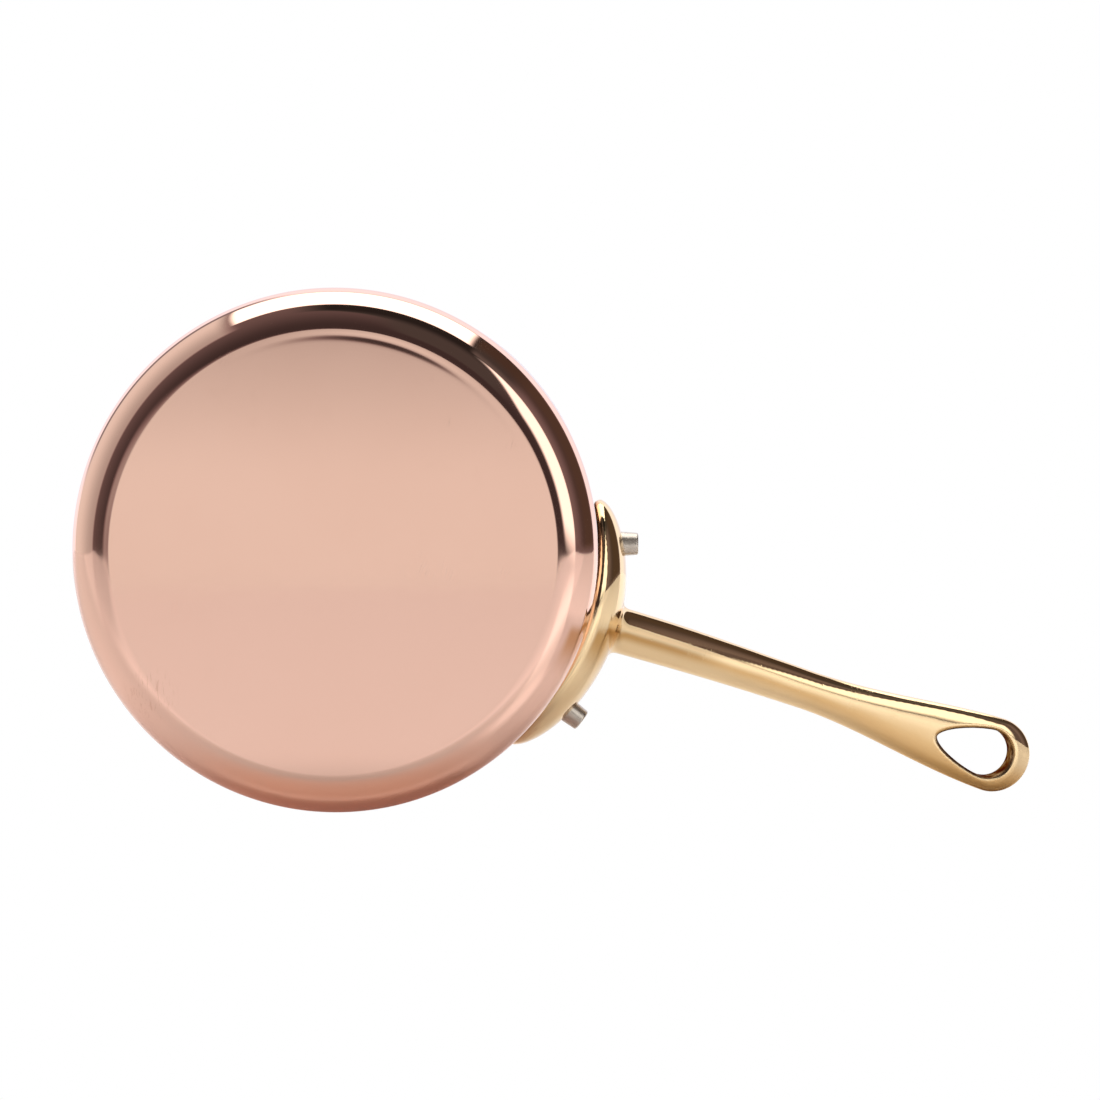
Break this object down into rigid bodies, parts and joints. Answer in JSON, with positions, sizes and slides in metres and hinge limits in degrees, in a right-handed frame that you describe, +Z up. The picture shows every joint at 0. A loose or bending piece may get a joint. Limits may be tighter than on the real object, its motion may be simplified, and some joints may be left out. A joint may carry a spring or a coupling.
{
  "type": "saucepan",
  "caption": "Small round copper saucepan with a steel lining and a cast brass handle riveted to its wall.",
  "frame": {"origin": "centre of the flat underside of the base", "axes": "+Z up out of the open mouth along the pan's axis, +X along the handle, +Y to the left of the handle"},
  "size_m": [0.2381, 0.12, 0.0808],
  "materials": {
    "copper": "mirror-polished copper",
    "lining": "fine circular brushing",
    "brass": "polished casting",
    "rivet": "plain stainless"
  },
  "bodies": {
    "root": {"copper_body": "copper", "steel_lining": "lining", "brass_handle": "brass", "rivet_left": "rivet", "rivet_right": "rivet"}
  },
  "joints": []
}
